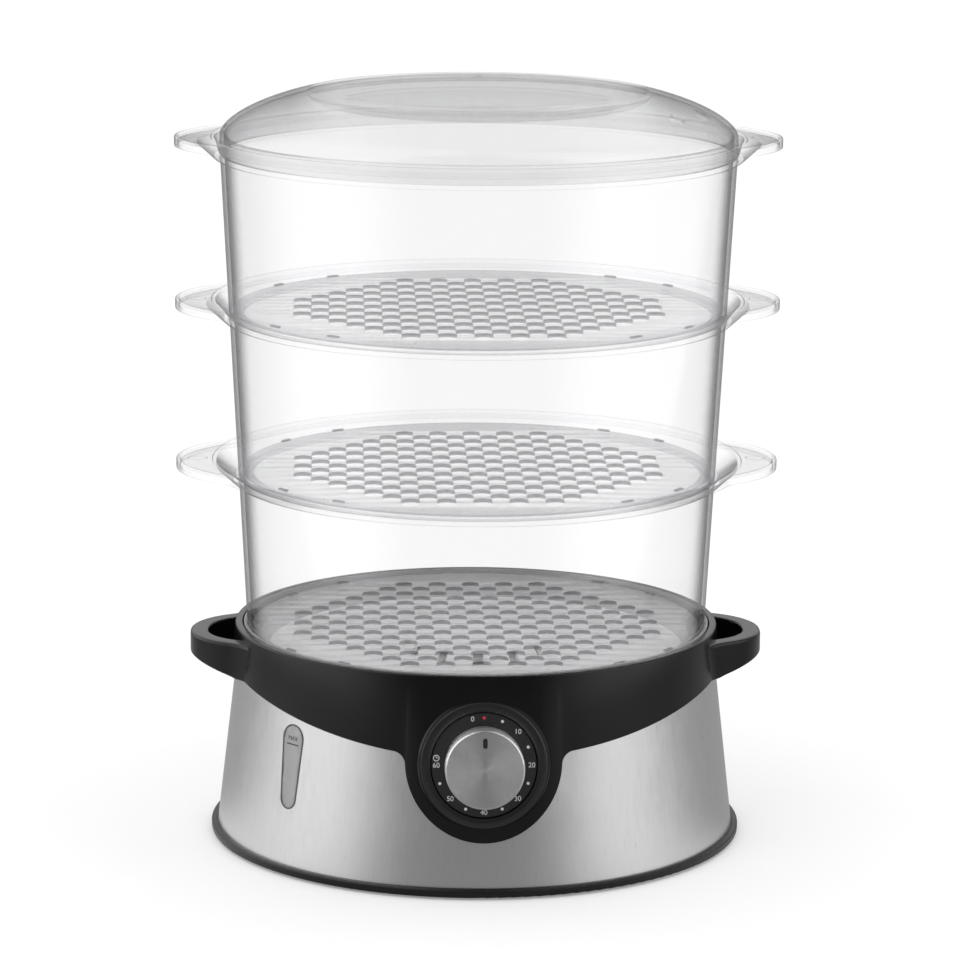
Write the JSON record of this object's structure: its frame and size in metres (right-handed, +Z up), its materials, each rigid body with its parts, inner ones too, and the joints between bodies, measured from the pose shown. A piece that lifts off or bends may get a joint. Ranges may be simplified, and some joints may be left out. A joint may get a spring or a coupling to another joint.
{
  "type": "electric food steamer",
  "caption": "Round electric steamer: steel base with timer dial and water gauge, drip tray, stacked clear tiers and a domed lid that lift off.",
  "frame": {"origin": "centre of the rubber ring that the base stands on, on the stack's axis", "axes": "+Z up through the stack; the timer dial faces -Y; +X is to the right as one faces the dial"},
  "size_m": [0.288, 0.2665, 0.367],
  "materials": {
    "brushed_steel_skin": "vertical brushed satin",
    "black_gloss": "polished black moulding",
    "black_matte": "fine satin moulding",
    "clear_shell": "clear polished plastic",
    "lid_smoke": "clear plastic with a faint grey tint",
    "frosted_tray": "translucent white plastic",
    "gauge_smoke": "translucent grey plastic",
    "knob_metal": "circular brushed face, bright bevel",
    "dark_plastic": "moulded",
    "pointer_black": "matt inlay",
    "dial_face": "satin black with printed marks",
    "silicone": "translucent silicone",
    "rubber_black": "matt rubber",
    "cast_aluminium": "cast and machined",
    "tube_steel": "heat-toned sheath",
    "zinc_steel": "zinc plated",
    "bell_steel": "nickel plated",
    "nylon_white": "moulded nylon",
    "tank_black": "moulded"
  },
  "bodies": {
    "base": {"bottom_cover": "black_matte", "rubber_ring": "rubber_black", "base_screws": "zinc_steel", "steel_skin": "brushed_steel_skin", "collar": "black_gloss", "tank_seal": "silicone", "water_tank": "tank_black", "heater_plate": "cast_aluminium", "heater_seal": "silicone", "heating_tube": "tube_steel", "heater_strap": "zinc_steel", "strap_screws": "zinc_steel", "boil_dry_thermostat": "bell_steel", "thermal_fuse": "nylon_white", "steam_ring": "dark_plastic", "gauge_window": "gauge_smoke", "cord_gland": "rubber_black", "gland_nut": "dark_plastic", "terminal_block": "nylon_white", "timer_case": "zinc_steel", "timer_bell": "bell_steel", "timer_screws": "zinc_steel", "dial_plate": "dial_face", "dial_bezel": "black_gloss"},
    "knob": {"timer_shaft": "zinc_steel", "knob_cap": "knob_metal", "knob_pointer": "pointer_black", "knob_core": "dark_plastic"},
    "drip_tray": {"drip_tray": "frosted_tray"},
    "tier_1": {"tier_1_wall": "clear_shell", "tier_1_floor": "clear_shell"},
    "tier_2": {"tier_2_wall": "clear_shell", "tier_2_floor": "clear_shell"},
    "tier_3": {"tier_3_wall": "clear_shell", "tier_3_floor": "clear_shell"},
    "lid": {"lid": "lid_smoke"}
  },
  "joints": [
    {"name": "timer_turn", "type": "hinge", "parent": "base", "child": "knob", "pos_m": [0, -0.12221, 0.0626], "axis": [0, 0.9934, -0.1149], "range_deg": [0, 270]},
    {"name": "tray_lift", "type": "slide", "parent": "base", "child": "drip_tray", "axis": [0, 0, 1], "range_m": [0, 0.12]},
    {"name": "tier_1_lift", "type": "slide", "parent": "drip_tray", "child": "tier_1", "axis": [0, 0, 1], "range_m": [0, 0.12]},
    {"name": "tier_2_lift", "type": "slide", "parent": "tier_1", "child": "tier_2", "axis": [0, 0, 1], "range_m": [0, 0.12]},
    {"name": "tier_3_lift", "type": "slide", "parent": "tier_2", "child": "tier_3", "axis": [0, 0, 1], "range_m": [0, 0.12]},
    {"name": "lid_lift", "type": "slide", "parent": "tier_3", "child": "lid", "axis": [0, 0, 1], "range_m": [0, 0.12]}
  ]
}
